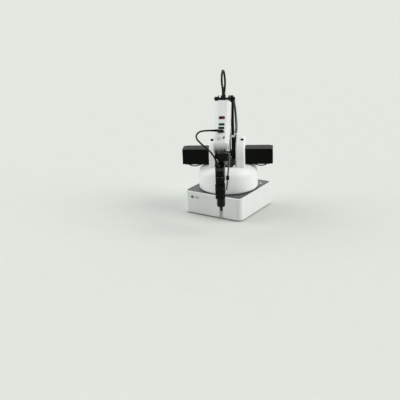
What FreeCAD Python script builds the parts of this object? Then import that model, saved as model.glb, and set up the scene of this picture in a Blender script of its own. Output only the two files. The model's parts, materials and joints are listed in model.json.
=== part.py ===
import FreeCAD, Part
import math
import os

# Desktop four-axis robot arm with a parallel linkage and a suction-cup tool.
# Millimetres, +Z up.  The origin is the centre of the square base on the surface that the
# feet stand on; -Y is the base's front.  The turret and arm are drawn pointing at -Y, with
# F = forward (-Y), L = sideways (+X) and z, and are then turned by REST_YAW about +Z.

V = FreeCAD.Vector

# ---- driving dimensions -------------------------------------------------------------
BASE_SIDE = 158.0           # square footprint of the base
BASE_TOP = 56.0             # top of the base's rim
BASE_CORNER_R = 12.0        # upright corners of the base
BASE_WALL = 3.0
FOOT_H = 3.0                # rubber feet below the base
TURRET_R = 71.5             # drum of the turret
TURRET_BOTTOM = 56.7
SHOULDER_Z = 138.0          # height of both shoulder drive axes
REAR_ARM = 135.0            # shoulder axis to elbow axis
FOREARM = 147.0             # elbow axis to wrist axis
TOOL_REACH = 60.0           # wrist axis to tool axis, always level
REST_YAW = 27.5             # turret angle in the stored pose, degrees
REST_PITCH = 35.8           # forearm angle below the horizon in the stored pose, degrees
ARM_L = -6.0                # middle of the forearm, sideways from the turret's axis
TOOL_L = -5.5               # tool's turning axis, sideways
SLOT_HALF = 20.5            # half the slot between the two towers
TOWER_HALF = 42.5           # outer face of each tower
TOWER_R = 42.0              # rounded top of each tower about the shoulder axis
MOTOR_END = 108.5           # outer end of each shoulder motor
MOTOR_SIDE = 38.0           # square section of the shoulder motors
MOTOR_Z = 135.0             # middle of their housings, a little below the shoulder axis
PLAY = 0.05                 # radial clearance of every pin and shaft that turns

# ---- linkage, in the (F, z) plane of the arm ----------------------------------------
PITCH = math.radians(REST_PITCH)
SHOULDER = (0.0, SHOULDER_Z)
ELBOW = (0.0, SHOULDER_Z + REAR_ARM)
WRIST = (FOREARM * math.cos(PITCH), ELBOW[1] - FOREARM * math.sin(PITCH))
TOOL_F = WRIST[0] + TOOL_REACH
REAR_PIVOT = (-24.0, 0.0)   # rear level link, from the shoulder and from the elbow
FRONT_PIVOT = (-7.2, -15.4)  # front level link, from the elbow and from the wrist
CRANK = (-38.0, -8.0)       # drive link, from the shoulder and from the elbow


def shift(point, offset):
    return (point[0] + offset[0], point[1] + offset[1])


# ---- helpers ------------------------------------------------------------------------
def block(f0, f1, l0, l1, z0, z1):
    """A box from its forward, sideways and height limits."""
    return Part.makeBox(l1 - l0, f1 - f0, z1 - z0, V(l0, -f1, z0))


def upright(f, l, z0, z1, r):
    """A cylinder along Z."""
    return Part.makeCylinder(r, z1 - z0, V(l, -f, z0), V(0, 0, 1))


def axle(point, l0, l1, r):
    """A cylinder along the arm's sideways axis, centred on an (F, z) point."""
    return Part.makeCylinder(r, l1 - l0, V(l0, -point[0], point[1]), V(1, 0, 0))


def side_plate(points, l0, l1):
    """A flat plate from an outline in the (F, z) plane."""
    loop = [V(l0, -f, z) for f, z in points]
    face = Part.Face(Part.makePolygon(loop + loop[:1]))
    return face.extrude(V(l1 - l0, 0, 0))


def bar(p, rp, q, rq, l0, l1):
    """A flat link with a round end of radius rp at p and rq at q."""
    df, dz = q[0] - p[0], q[1] - p[1]
    length = math.hypot(df, dz)
    lean = math.acos((rp - rq) / length)
    along = math.atan2(dz, df)
    outline = []
    for centre, r, turn in ((p, rp, lean), (q, rq, lean), (q, rq, -lean), (p, rp, -lean)):
        outline.append((centre[0] + r * math.cos(along + turn), centre[1] + r * math.sin(along + turn)))
    body = side_plate(outline, l0, l1)
    return body.fuse([axle(p, l0, l1, rp), axle(q, l0, l1, rq)]).removeSplitter()


def rounded_square(side, corner_r, z0, z1):
    """A square prism about the origin with rounded upright corners."""
    body = Part.makeBox(side, side, z1 - z0, V(-side / 2, -side / 2, z0))
    return body.makeFillet(corner_r, upright_edges(body))


def upright_edges(body):
    return [e for e in body.Edges if abs(e.tangentAt(e.FirstParameter).z) > 0.999]


def edges_at(body, test):
    """Edges whose every vertex passes the test."""
    return [e for e in body.Edges if e.Vertexes and all(test(v.Point) for v in e.Vertexes)]


def tube(route, diameter):
    """A round tube along straight runs joined by tangent arcs; returns it with its radii."""
    points = [V(l, -f, z) for f, l, z in route]
    edges, radii, start = [], [], points[0]
    for before, corner, after in zip(points, points[1:], points[2:]):
        back, on = before - corner, after - corner
        half_turn = (math.pi - back.getAngle(on)) / 2
        cut = 0.45 * min(back.Length, on.Length)
        radii.append(cut / math.tan(half_turn))
        back.normalize()
        on.normalize()
        first, last = corner + back * cut, corner + on * cut
        to_centre = (back + on).normalize()
        middle = corner + to_centre * (radii[-1] / math.cos(half_turn) - radii[-1])
        edges.append(Part.LineSegment(start, first).toShape())
        edges.append(Part.Arc(first, middle, last).toShape())
        start = last
    edges.append(Part.LineSegment(start, points[-1]).toShape())
    path = Part.Wire(edges)
    ring = Part.Wire(Part.makeCircle(diameter / 2, points[0], points[1] - points[0]))
    return path.makePipeShell([ring], True, False), radii, path.Length


def group(shapes):
    return shapes[0] if len(shapes) == 1 else Part.makeCompound(shapes)


# ---- base ---------------------------------------------------------------------------
POST = 66.0                 # screw posts in the base's corners
FEET = 58.0                 # feet, each way from the middle
BOLTS = 50.0                # mounting holes, each way from the middle
BOLT_R = 2.25               # M5 thread, in bosses as deep as the feet
PLATE_SIDE = 150.0          # top plate
PLATE_TOP = 55.4
LEDGE_Z = 50.0
PANEL_Z = (10.0, 30.0)      # rear port panel
PANEL_X = 46.0
JACK_X, USB_X, IO_X, POWER_X = -34.0, -14.0, 10.0, 34.0
PORT_Z = 17.0
POWER_R = 6.0
LED_AT = (60.0, 52.0)         # status light in the top plate


def corners(a):
    return [(sx * a, sy * a) for sx in (-1, 1) for sy in (-1, 1)]


def base_shell():
    inner = BASE_SIDE - 2 * BASE_WALL
    body = rounded_square(BASE_SIDE, BASE_CORNER_R, FOOT_H, BASE_TOP)
    body = body.makeFillet(1.2, edges_at(body, lambda p: p.z > BASE_TOP - 0.01))
    body = body.cut(rounded_square(inner, BASE_CORNER_R - BASE_WALL, FOOT_H - 1, LEDGE_Z))
    body = body.cut(rounded_square(inner - 8, BASE_CORNER_R - 7, LEDGE_Z - 1, LEDGE_Z + 4))
    body = body.cut(rounded_square(PLATE_SIDE + 0.6, 8.3, PLATE_TOP - 2.4, BASE_TOP + 1))
    posts = [Part.makeCylinder(9.4, PLATE_TOP - 2.4 - 5.3, V(x, y, 5.3)) for x, y in corners(POST + 0.8)]
    body = body.fuse(posts)
    for x, y in corners(POST):
        body = body.cut(Part.makeCylinder(1.6, 60, V(x, y, 0)))
    low, high = PANEL_Z
    back = BASE_SIDE / 2
    return body.cut(Part.makeBox(2 * PANEL_X, 10, high - low, V(-PANEL_X, back - 6, low)))


def base_top_plate():
    body = rounded_square(PLATE_SIDE, 8.0, PLATE_TOP - 2.4, PLATE_TOP)
    body = body.cut(Part.makeCylinder(42, 10, V(0, 0, PLATE_TOP - 5)))
    for x, y in corners(POST):
        body = body.cut(Part.makeCylinder(1.6, 10, V(x, y, PLATE_TOP - 5)))
        body = body.cut(Part.makeCylinder(3.0, 5, V(x, y, PLATE_TOP - 1.2)))
    return body.cut(Part.makeCylinder(2.3, 10, V(*LED_AT, PLATE_TOP - 5)))


def base_bottom_plate():
    body = rounded_square(BASE_SIDE - 2 * BASE_WALL - 0.6, BASE_CORNER_R - BASE_WALL, FOOT_H, 5.0)
    body = body.fuse([Part.makeCylinder(6.0, FOOT_H + 1, V(x, y, 0)) for x, y in corners(BOLTS)])
    for x, y in corners(POST):
        body = body.cut(Part.makeCylinder(1.6, 6, V(x, y, 1)))
    for x, y in corners(BOLTS):
        body = body.cut(Part.makeCylinder(BOLT_R, 8, V(x, y, -1)))
    return body


def rubber_feet():
    return group([Part.makeCone(8.0, 9.0, FOOT_H, V(x, y, 0)) for x, y in feet_places()])


def feet_places():
    return [(sx * FEET, sy * 30.0) for sx in (-1, 1) for sy in (-1, 1)]


def base_screws():
    top = []
    for x, y in corners(POST):
        head = Part.makeCylinder(2.8, 1.1, V(x, y, PLATE_TOP - 1.2))
        socket = Part.makeCylinder(1.2, 0.7, V(x, y, PLATE_TOP - 0.7))
        top.append(head.fuse(Part.makeCylinder(1.45, 12, V(x, y, PLATE_TOP - 13))).cut(socket))
    bottom = []
    for x, y in corners(POST):
        head = Part.makeCylinder(2.8, 1.4, V(x, y, FOOT_H - 1.4))
        bottom.append(head.fuse(Part.makeCylinder(1.45, 12, V(x, y, FOOT_H))))
    return group(top + bottom)


def rear_port_panel():
    low, high = PANEL_Z
    face = BASE_SIDE / 2 - 0.6
    body = Part.makeBox(2 * PANEL_X - 0.4, 2, high - low - 0.4, V(0.2 - PANEL_X, face - 2, low + 0.2))
    for x, w, h in ((USB_X, 12.4, 11.4), (IO_X, 22.4, 9.4)):
        body = body.cut(Part.makeBox(w, 10, h, V(x - w / 2, face - 5, PORT_Z - h / 2)))
    for x, r in ((JACK_X, 5.7), (POWER_X, POWER_R + 0.3)):
        body = body.cut(Part.makeCylinder(r, 10, V(x, face - 5, PORT_Z), V(0, 1, 0)))
    return body


def dc_jack():
    y0 = BASE_SIDE / 2 - 14
    body = Part.makeCylinder(5.5, 13, V(JACK_X, y0, PORT_Z), V(0, 1, 0))
    body = body.fuse(Part.makeBox(12, 6, 12, V(JACK_X - 6, y0, PORT_Z - 5.8)))
    bore = Part.makeCylinder(2.9, 10, V(JACK_X, y0 + 4, PORT_Z), V(0, 1, 0))
    return body.cut(bore).fuse(Part.makeCylinder(1.0, 9, V(JACK_X, y0 + 3, PORT_Z), V(0, 1, 0)))


def usb_socket():
    y0 = BASE_SIDE / 2 - 15
    body = Part.makeBox(12, 14.2, 11, V(USB_X - 6, y0, PORT_Z - 5.5))
    body = body.cut(Part.makeBox(8.4, 10, 7.6, V(USB_X - 4.2, y0 + 5, PORT_Z - 3.8)))
    return body.fuse(Part.makeBox(5.6, 9, 3.0, V(USB_X - 2.8, y0 + 4, PORT_Z - 1.5)))


def io_socket():
    y0 = BASE_SIDE / 2 - 11
    body = Part.makeBox(22, 10.2, 9, V(IO_X - 11, y0, PORT_Z - 4.5))
    return body.cut(Part.makeBox(19.6, 8, 6.4, V(IO_X - 9.8, y0 + 3, PORT_Z - 3.2)))


def data_sockets():
    return group([usb_socket(), io_socket()])


def power_button():
    face = BASE_SIDE / 2
    body = Part.makeCylinder(POWER_R, 6, V(POWER_X, face - 5.5, PORT_Z), V(0, 1, 0))
    return body.makeFillet(0.8, edges_at(body, lambda p: p.y > face))


def control_board():
    board = Part.makeBox(112, 48, 1.6, V(-56, 25, 9))
    chips = [(-20, 34, 14, 14, 2), (8, 34, 10, 10, 2), (-44, 32, 10, 16, 6), (26, 32, 16, 14, 8),
             (-50, 52, 8, 8, 3), (40, 52, 8, 8, 12)]
    body = board
    for x, y, w, d, h in chips:
        body = body.fuse(Part.makeBox(w, d, h, V(x, y, 10.5)))
    legs = [Part.makeCylinder(2.5, 4, V(x, y, 5)) for x in (-54, 54) for y in (29, 69)]
    return body.fuse(legs)


def yaw_motor():
    body = Part.makeBox(42, 42, 22, V(-21, -21, 7))
    body = body.makeChamfer(3.0, upright_edges(body))
    return body.fuse(Part.makeCylinder(18, 13, V(0, 0, 29)))


def yaw_bearing_housing():
    body = Part.makeCylinder(58, 3.4, V(0, 0, 49.4)).cut(Part.makeCylinder(34, 10, V(0, 0, 45)))
    collar = Part.makeCylinder(41, 15, V(0, 0, 36)).cut(Part.makeCylinder(34, 30, V(0, 0, 30)))
    arms = [Part.makeBox(8, 60, 4, V(sx * 44 - 4, -30, 46)) for sx in (-1, 1)]
    floor = Part.makeCylinder(41, 3, V(0, 0, 36)).cut(Part.makeCylinder(18.2, 10, V(0, 0, 30)))
    return body.fuse([collar, floor] + arms).removeSplitter()


def ring(r_in, r_out, z0, z1):
    bore = Part.makeCylinder(r_in, z1 - z0 + 2, V(0, 0, z0 - 1))
    return Part.makeCylinder(r_out, z1 - z0, V(0, 0, z0)).cut(bore)


BALL_R = 2.2
BALL_RING = 29.0
BALL_Z = 48.5


def yaw_bearing(inner):
    groove = Part.makeTorus(BALL_RING, BALL_R + 0.25, V(0, 0, BALL_Z), V(0, 0, 1))
    body = ring(24.0, 28.0, 44, 53) if inner else ring(30.0, 34.0, 44, 53)
    return body.cut(groove)


def yaw_bearing_balls():
    count = 20
    turns = [2 * math.pi * k / count for k in range(count)]
    places = [V(BALL_RING * math.cos(t), BALL_RING * math.sin(t), BALL_Z) for t in turns]
    return group([Part.makeSphere(BALL_R, p) for p in places])


def status_led():
    x, y = LED_AT
    return Part.makeCylinder(2.2, 3.2, V(x, y, PLATE_TOP - 2.8))


# ---- turret -------------------------------------------------------------------------
DISC_Z = (58.6, 62.6)
FRAME_T = 2.4               # thickness of the two frame plates
YOKE_FLOOR = 115.0          # bottom of the notch in front of the slot
TOWER_HOLE = math.radians(22.8)  # screw hole in each tower's round top, forward of upright
TOWER_HOLE_L = 36.0
SHELL_T = 3.0
TURRET_CROWN = 115.5        # flat top of the drum's shoulder
COVER_GAP = 0.2


def turret_outline(inset):
    """Half section of the drum and its shoulder, shrunk by inset, as a face in the XZ plane."""
    r, low = TURRET_R - inset, TURRET_BOTTOM + inset
    knee = V(r, 0, 92.0)
    crown = V(r - 24.0, 0, TURRET_CROWN - inset)
    bend = V(r - 5.5, 0, 106.5 - inset * 0.4)
    foot = 3.0
    corner = V(r - foot + foot * math.cos(math.pi / 4), 0, low + foot - foot * math.sin(math.pi / 4))
    edges = [
        Part.LineSegment(V(0, 0, low), V(r - foot, 0, low)).toShape(),
        Part.Arc(V(r - foot, 0, low), corner, V(r, 0, low + foot)).toShape(),
        Part.LineSegment(V(r, 0, low + foot), knee).toShape(),
        Part.Arc(knee, bend, crown).toShape(),
        Part.LineSegment(crown, V(0, 0, crown.z)).toShape(),
        Part.LineSegment(V(0, 0, crown.z), V(0, 0, low)).toShape(),
    ]
    return Part.Face(Part.Wire(edges))


def turret_solid(inset):
    return turret_outline(inset).revolve(V(0, 0, 0), V(0, 0, 1), 360)


def turret_shell():
    body = turret_solid(0).cut(turret_solid(SHELL_T))
    body = body.cut(Part.makeCylinder(TURRET_R - 6, 10, V(0, 0, TURRET_BOTTOM - 2)))
    window = block(-39, 39, -(TOWER_HALF - 3), TOWER_HALF - 3, 90, 130)
    window = window.fuse(block(-45, -38, -15, 15, 90, 130))
    body = body.cut(window)
    yoke = block(39, 43, -SLOT_HALF + 0.2, SLOT_HALF - 0.2, 108, 125)
    notch = block(30, 50, -SLOT_HALF + 6.2, SLOT_HALF - 6.2, YOKE_FLOOR, 130)
    for side in (-1, 1):
        corner_l = side * (SLOT_HALF - 6.2)
        notch = notch.fuse(axle_f(corner_l, 125, 6.0, 30, 50))
        notch = notch.cut(edge_round(corner_l, side, YOKE_FLOOR, 3.0, 30, 50))
    return body.fuse(yoke).cut(notch).removeSplitter()


def axle_f(l, z, r, f0, f1):
    """A cylinder along the forward axis."""
    return Part.makeCylinder(r, f1 - f0, V(l, -f0, z), V(0, -1, 0))


def edge_round(l, side, z, r, f0, f1):
    """What a rounded lower corner of radius r leaves outside it, along the forward axis."""
    edge = block(f0, f1, min(l, l - side * r), max(l, l - side * r), z, z + r)
    return edge.cut(axle_f(l - side * r, z + r, r, f0, f1))


def tower_outline(r, l0, l1, z0):
    """Upright slab with a rounded top about the shoulder axis."""
    slab = block(-r, r, l0, l1, z0, SHOULDER_Z)
    return slab.fuse(axle(SHOULDER, l0, l1, r)).removeSplitter()


def tower_cover(side):
    inner, outer = SLOT_HALF + FRAME_T + 0.1, TOWER_HALF
    body = tower_outline(TOWER_R, inner, outer, 86)
    rim = [e for e in body.Edges if on_outer_rim(e, outer)]
    body = body.makeFillet(4.0, rim)
    hollow = tower_outline(TOWER_R - 2.6, inner - 1, outer - 2.6, 80)
    body = body.cut(hollow).cut(turret_solid(-COVER_GAP))
    body = body.cut(motor_section(17.6, outer - 5, outer + 5))
    lean = (math.sin(TOWER_HOLE), math.cos(TOWER_HOLE))
    start = V(TOWER_HOLE_L, -30 * lean[0], SHOULDER_Z + 30 * lean[1])
    body = body.cut(Part.makeCylinder(2.8, 20, start, V(0, -lean[0], lean[1])))
    return body if side > 0 else mirror(body)


def on_outer_rim(edge, outer):
    points = edge.discretize(3)
    return all(abs(p.x - outer) < 0.01 for p in points) and min(p.z for p in points) > 87


def mirror(shape):
    return shape.mirror(V(0, 0, 0), V(1, 0, 0))


def frame_plate(side):
    l0, l1 = SLOT_HALF, SLOT_HALF + FRAME_T
    body = tower_outline(36, l0, l1, DISC_Z[1]).cut(axle(SHOULDER, l0 - 1, l1 + 1, 9.0))
    body = body.cut(axle((22, 84), l0 - 1, l1 + 1, 7)).cut(axle((-22, 84), l0 - 1, l1 + 1, 7))
    foot = block(-34, 34, l1, l1 + 8, DISC_Z[1], DISC_Z[1] + 3)
    body = body.fuse(foot).removeSplitter()
    return body if side > 0 else mirror(body).fuse(level_anchor_pin()).removeSplitter()


def frame_braces():
    front = block(26, 34, -SLOT_HALF, SLOT_HALF, 98, 116)
    rear = block(-34, -28, -SLOT_HALF, SLOT_HALF, 66, 92)
    return group([front, rear])


def turret_disc():
    body = Part.makeCylinder(63, DISC_Z[1] - DISC_Z[0], V(0, 0, DISC_Z[0]))
    hub = Part.makeCylinder(23.95, DISC_Z[0] - 44.5, V(0, 0, 44.5))
    body = body.fuse(hub).cut(Part.makeCylinder(4, 30, V(0, 0, 40)))
    return body.cut(upright(-40, 0, 50, 70, 8))


def shoulder_motor(side):
    half = MOTOR_SIDE / 2
    l0 = TOWER_HALF + 0.2
    body = motor_section(half, l0, MOTOR_END - 7)
    body = body.makeFillet(1.6, sideways_edges(body))
    cap = motor_section(half - 0.6, MOTOR_END - 7, MOTOR_END)
    cap = cap.makeFillet(2.4, sideways_edges(cap))
    groove = block(-half - 1, half + 1, MOTOR_END - 7.8, MOTOR_END - 7.2, 0, 300)
    core = motor_section(half - 1, MOTOR_END - 8.5, MOTOR_END - 6)
    body = body.cut(groove).fuse([cap, core])
    body = body.fuse(motor_section(17, TOWER_HALF - 2.4, l0 + 1)).removeSplitter()
    return body if side > 0 else mirror(body)


def motor_section(half, l0, l1):
    """A square length of a motor's housing."""
    return block(-half, half, l0, l1, MOTOR_Z - half, MOTOR_Z + half)


def sideways_edges(body):
    return [e for e in body.Edges if abs(e.tangentAt(e.FirstParameter).x) > 0.999]


def shoulder_gearboxes():
    shapes = []
    for side in (-1, 1):
        body = axle(SHOULDER, SLOT_HALF + FRAME_T, TOWER_HALF - 2.6, 17.0)
        body = body.cut(axle(SHOULDER, 0, 34, 7.0 + PLAY))
        shapes.append(body if side > 0 else mirror(body))
    return group(shapes)


def motor_leads():
    shapes = []
    for side in (-1, 1):
        base = MOTOR_Z - MOTOR_SIDE / 2
        route = [(10, 60, base + 0.4), (10.4, 67, base - 3.0), (10, 77, base - 5.8),
                 (10.6, 88, base - 5.0), (10, 97, base + 0.4)]
        shape = tube([(f, l * side, z) for f, l, z in route], 2.6)[0]
        shapes.append(shape)
    return group(shapes)


def tower_screws():
    shapes = []
    z = DISC_Z[1] + 3
    for side in (-1, 1):
        for f in (-30, 0, 30):
            head = upright(f, SLOT_HALF + FRAME_T + 4, z, z + 2, 2.8)
            shank = upright(f, SLOT_HALF + FRAME_T + 4, z - 6, z, 1.5)
            body = head.fuse(shank)
            shapes.append(body if side > 0 else mirror(body))
    return group(shapes)


def level_anchor_pin():
    at = shift(SHOULDER, REAR_PIVOT)
    return axle(at, -SLOT_HALF, -3.2, 3.0).fuse(axle(at, -SLOT_HALF, -SLOT_HALF + 4, 6.0))


# ---- rear arm, links and crank --------------------------------------------------------
LEFT_PLATE = (-13.0, -10.0)
RIGHT_PLATE = (10.0, 16.5)  # the thicker plate, a boxed pressing
LEVEL_LAYER = (-6.6, -3.6)  # rear and front level links
PLATE_LAYER = (-9.8, -7.0)  # elbow plate
DRIVE_LAYER = (2.0, 5.0)    # drive link
CRANK_LAYER = (5.3, 8.0)    # crank and forearm lever
PIN_R = 3.0


def rear_arm_plate(layer):
    return bar(SHOULDER, 12.5, ELBOW, 8.0, *layer)


def rear_arm_left():
    return rear_arm_plate(LEFT_PLATE).cut(axle(ELBOW, -20, 0, PIN_R))


def rear_arm_right():
    body = rear_arm_plate(RIGHT_PLATE).cut(axle(ELBOW, 0, 20, PIN_R))
    return body.cut(axle(SHOULDER, 5, 20, 7.0 + PLAY))


def shoulder_shaft():
    body = axle(SHOULDER, -33.0, LEFT_PLATE[0], 7.0)
    return body.fuse(axle(SHOULDER, LEFT_PLATE[0] - 3, LEFT_PLATE[0], 12.0))


def elbow_pin():
    body = axle(ELBOW, -27.0, RIGHT_PLATE[1], PIN_R)
    body = body.fuse(axle(ELBOW, -27.0, -20.6, 5.0))
    return body.fuse(axle(ELBOW, RIGHT_PLATE[1], RIGHT_PLATE[1] + 2.4, 5.0))


def level_link(start, end):
    body = bar(start, 5.5, end, 5.5, *LEVEL_LAYER)
    for point in (start, end):
        body = body.cut(axle(point, -20, 0, PIN_R + PLAY))
    return body


def rear_level_link():
    return level_link(shift(SHOULDER, REAR_PIVOT), shift(ELBOW, REAR_PIVOT))


def front_level_link():
    return level_link(shift(ELBOW, FRONT_PIVOT), shift(WRIST, FRONT_PIVOT))


def elbow_plate():
    a, b = shift(ELBOW, REAR_PIVOT), shift(ELBOW, FRONT_PIVOT)
    body = bar(ELBOW, 7.5, a, 5.5, *PLATE_LAYER).fuse([bar(ELBOW, 7.5, b, 5.5, *PLATE_LAYER),
                                                       bar(a, 5.5, b, 5.5, *PLATE_LAYER)])
    pins = [axle(at, PLATE_LAYER[1], LEVEL_LAYER[1] + 0.4, PIN_R) for at in (a, b)]
    return body.cut(axle(ELBOW, -20, 0, PIN_R + PLAY)).fuse(pins).removeSplitter()


def drive_crank():
    tip = shift(SHOULDER, CRANK)
    body = bar(SHOULDER, 11.0, tip, 6.0, *CRANK_LAYER).fuse(axle(SHOULDER, CRANK_LAYER[1], 33.0, 7.0))
    return body.fuse(axle(tip, 1.0, CRANK_LAYER[0], 2.2)).removeSplitter()


def crank_bush():
    tip = shift(SHOULDER, CRANK)
    return axle(tip, *DRIVE_LAYER, 3.4).cut(axle(tip, 0, 10, 2.2 + PLAY))


def drive_link():
    low, high = shift(SHOULDER, CRANK), shift(ELBOW, CRANK)
    body = bar(low, 6.0, high, 6.0, *DRIVE_LAYER).cut(axle(low, 0, 10, 3.4 + PLAY))
    return body.cut(axle(high, 0, 10, 2.6))


# ---- forearm ------------------------------------------------------------------------
LEFT_CHEEK = (-20.0, -17.6)
COVER_TOP = 14.0            # cover's top face above the forearm's axis
COVER_LOW = -12.0
COVER_WALL = 2.2
COVER_START = 17.0
COVER_END = 145.0
HALF_ELBOW = 18.8           # half widths of the cover
HALF_WRIST = 16.7
BEVEL = 8.0
BUTTON_U, BUTTON_L, BUTTON_R = 131.0, -10.5, 5.0
COVER_SPAN = HALF_WRIST - 2.3  # half of the cover's open underside


def along_forearm(shape):
    """From forearm axes (F along the arm, z square to it) at the elbow to the arm's."""
    shape = shape.copy()
    shape.rotate(V(0, 0, 0), V(1, 0, 0), REST_PITCH)
    shape.translate(V(0, 0, ELBOW[1]))
    return shape


def forearm_point(u, v):
    """(F, z) in the arm's axes of a point u along the forearm and v above its axis."""
    return (u * math.cos(PITCH) + v * math.sin(PITCH), ELBOW[1] - u * math.sin(PITCH) + v * math.cos(PITCH))


def forearm_frame():
    right = bar((0, 0), 8.0, (FOREARM, 0), 7.5, *CRANK_LAYER)
    left = bar((0, 0), 8.0, (FOREARM, 0), 7.5, *LEFT_CHEEK)
    bars = [block(u, u + 8, LEFT_CHEEK[0], CRANK_LAYER[1], -4, 4) for u in (56, 118)]
    under_bevels = block(14, COVER_END + 0.5, -40, 30, 3.2, 20)
    body = along_forearm(right.fuse([left] + bars).cut(under_bevels))
    body = body.fuse(bar(ELBOW, 8.0, shift(ELBOW, CRANK), 6.0, *CRANK_LAYER)).removeSplitter()
    body = body.cut(axle(ELBOW, -30, 20, PIN_R + PLAY)).cut(axle(WRIST, -30, 20, PIN_R))
    return body.fuse(axle(shift(ELBOW, CRANK), DRIVE_LAYER[0], CRANK_LAYER[0], 2.55)).removeSplitter()


def cover_section(u, half, drop):
    """Closed section of the cover at u: flat top, two bevels and upright sides."""
    top, low = COVER_TOP - drop, COVER_LOW + drop
    outline = [(-half + drop, low), (-half + drop, top - BEVEL), (-half + BEVEL + drop * 0.4, top),
               (half - BEVEL - drop * 0.4, top), (half - drop, top - BEVEL), (half - drop, low)]
    loop = [V(ARM_L + l, -u, z) for l, z in outline]
    return Part.makePolygon(loop + loop[:1])


def cover_loft(drop, u0, u1):
    ends = [cover_section(u0, HALF_ELBOW, drop), cover_section(u1, HALF_WRIST, drop)]
    return Part.makeLoft(ends, True, True)


def forearm_cover():
    body = cover_loft(0, COVER_START, COVER_END)
    body = body.cut(cover_loft(COVER_WALL, COVER_START - 5, COVER_END + 5))
    low = side_plate([(COVER_START - 10, -30), (COVER_START - 10, 8.5), (COVER_START, 5.5),
                      (48, COVER_LOW + 1), (48, -30)], -40, 30)
    below = block(0, 200, ARM_L - COVER_SPAN, ARM_L + COVER_SPAN, -30, COVER_LOW + 5)
    body = body.cut(low).cut(below)
    for u0, u1, l0, l1 in PORT_WINDOWS:
        body = body.cut(block(u0, u1, l0, l1, 5, 30))
    body = body.cut(Part.makeCylinder(BUTTON_R + 0.3, 20, V(BUTTON_L, -BUTTON_U, 8)))
    return along_forearm(body)


GREEN_U = (87.3, 98.0, 108.8)
GREEN_L = (-12.8, -0.6)
BLACK_L = (-13.2, -7.0)
RED_L = (-6.4, -0.4)
GREEN_LEN = 6.2
PAIR_U = 66.5
PAIR_LEN = 8.0
PORT_WINDOWS = [(u - 0.3, u + GREEN_LEN + 0.3, GREEN_L[0] - 0.3, GREEN_L[1] + 0.3) for u in GREEN_U]
PORT_WINDOWS.append((PAIR_U - 0.3, PAIR_U + PAIR_LEN + 0.3, BLACK_L[0] - 0.3, RED_L[1] + 0.3))


def port_board():
    return along_forearm(block(60, 118, -15.5, 1.5, 5.2, 6.8))


def socket(u, length, limits):
    l0, l1 = limits
    body = block(u, u + length, l0, l1, 6.8, COVER_TOP + 0.8)
    body = body.cut(block(u + 1.1, u + length - 1.1, l0 + 1.1, l1 - 1.1, 9.5, 30))
    return along_forearm(body)


def green_sockets():
    return group([socket(u, GREEN_LEN, GREEN_L) for u in GREEN_U])


def servo_plug():
    u = GREEN_U[2]
    body = block(u + 1.3, u + GREEN_LEN - 1.3, GREEN_L[0] + 1.3, GREEN_L[1] - 1.3, 9.6, COVER_TOP + 5.5)
    return along_forearm(body)


def unlock_button():
    body = Part.makeCylinder(BUTTON_R, 7.2, V(BUTTON_L, -BUTTON_U, 8.4))
    body = body.makeFillet(0.6, edges_at(body, lambda p: p.z > 15))
    return along_forearm(body)


# ---- wrist and tool -----------------------------------------------------------------
SERVO_TOP = 160.0
SERVO_BOTTOM = 123.0
SERVO_L = (-15.5, 3.5)
SERVO_F = (TOOL_F - 30.0, TOOL_F + 10.0)


BRACKET_LEFT = (-17.3, -14.8)
BRACKET_RIGHT = (2.4, 5.0)
BRACKET_EAR = (-10.0, -7.2)


def wrist_bracket():
    w, pivot = WRIST, shift(WRIST, FRONT_PIVOT)
    left = bar(w, 6.5, pivot, 5.5, *BRACKET_LEFT)
    left = left.fuse(bar(w, 6.5, (TOOL_F - 18, w[1] - 6), 6.5, *BRACKET_LEFT))
    left = left.fuse(block(TOOL_F - 29, TOOL_F - 12, *BRACKET_LEFT, SERVO_TOP, w[1] - 2))
    right = bar(w, 6.5, (TOOL_F - 14, w[1] - 6), 6.5, *BRACKET_RIGHT)
    ear = bar(w, 6.5, pivot, 5.5, *BRACKET_EAR).fuse(bar(w, 6.5, (w[0] + 18, w[1] - 7), 4.5, *BRACKET_EAR))
    neck = block(w[0] + 14, TOOL_F - 10, BRACKET_LEFT[0], BRACKET_RIGHT[1], w[1] - 12, w[1] - 5.2)
    head = block(TOOL_F - 26, TOOL_F - 7, -11.5, 12.5, w[1] - 16, w[1] + 1.5)
    foot = block(TOOL_F - 29, TOOL_F, BRACKET_LEFT[0], 0.2, SERVO_TOP, SERVO_TOP + 2.6)
    web = block(TOOL_F - 22, TOOL_F - 14, -9, 3, SERVO_TOP, w[1] - 10)
    f, l, z = AIR_ROUTE[0]
    barb = upright(f, l, z, z + 3.5, 2.4).fuse(block(f - 2, f + 2, 12.0, l, z, z + 3.5))
    body = left.fuse([right, ear, neck, head, foot, web, barb]).removeSplitter()
    body = body.cut(axle(w, -30, 20, PIN_R + PLAY))
    return body.fuse(axle(pivot, BRACKET_EAR[1], LEVEL_LAYER[1] + 0.4, PIN_R)).removeSplitter()


def wrist_pin():
    return axle(WRIST, LEFT_CHEEK[0], CRANK_LAYER[1], PIN_R)


CAP_LENGTH = 27.0
CAP_ROUND = 12.0


def wrist_cap():
    """Level rounded cap in front of the wrist, clear of the forearm's end as it turns."""
    f, z = WRIST
    half = HALF_WRIST - 0.4
    body = front_rounded(f, f + CAP_LENGTH, half, z - 5, z + 14, CAP_ROUND)
    body = body.makeFillet(3.0, [e for e in body.Edges if cap_side_edge(e, f)])
    body = body.cut(axle(WRIST, -40, 30, 17.0))
    inside = front_rounded(f - 1, f + CAP_LENGTH - 2.4, half - 2.2, z - 10, z + 11.6, CAP_ROUND - 2.4)
    return body.cut(inside).cut(wrist_bracket())


def front_rounded(f0, f1, half, z0, z1, r):
    """A box in line with the forearm whose upper front edge is rounded."""
    body = block(f0, f1, ARM_L - half, ARM_L + half, z0, z1)
    return body.makeFillet(r, edges_at(body, lambda p: abs(-p.y - f1) < 0.01 and p.z > z1 - 0.01))


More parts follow.
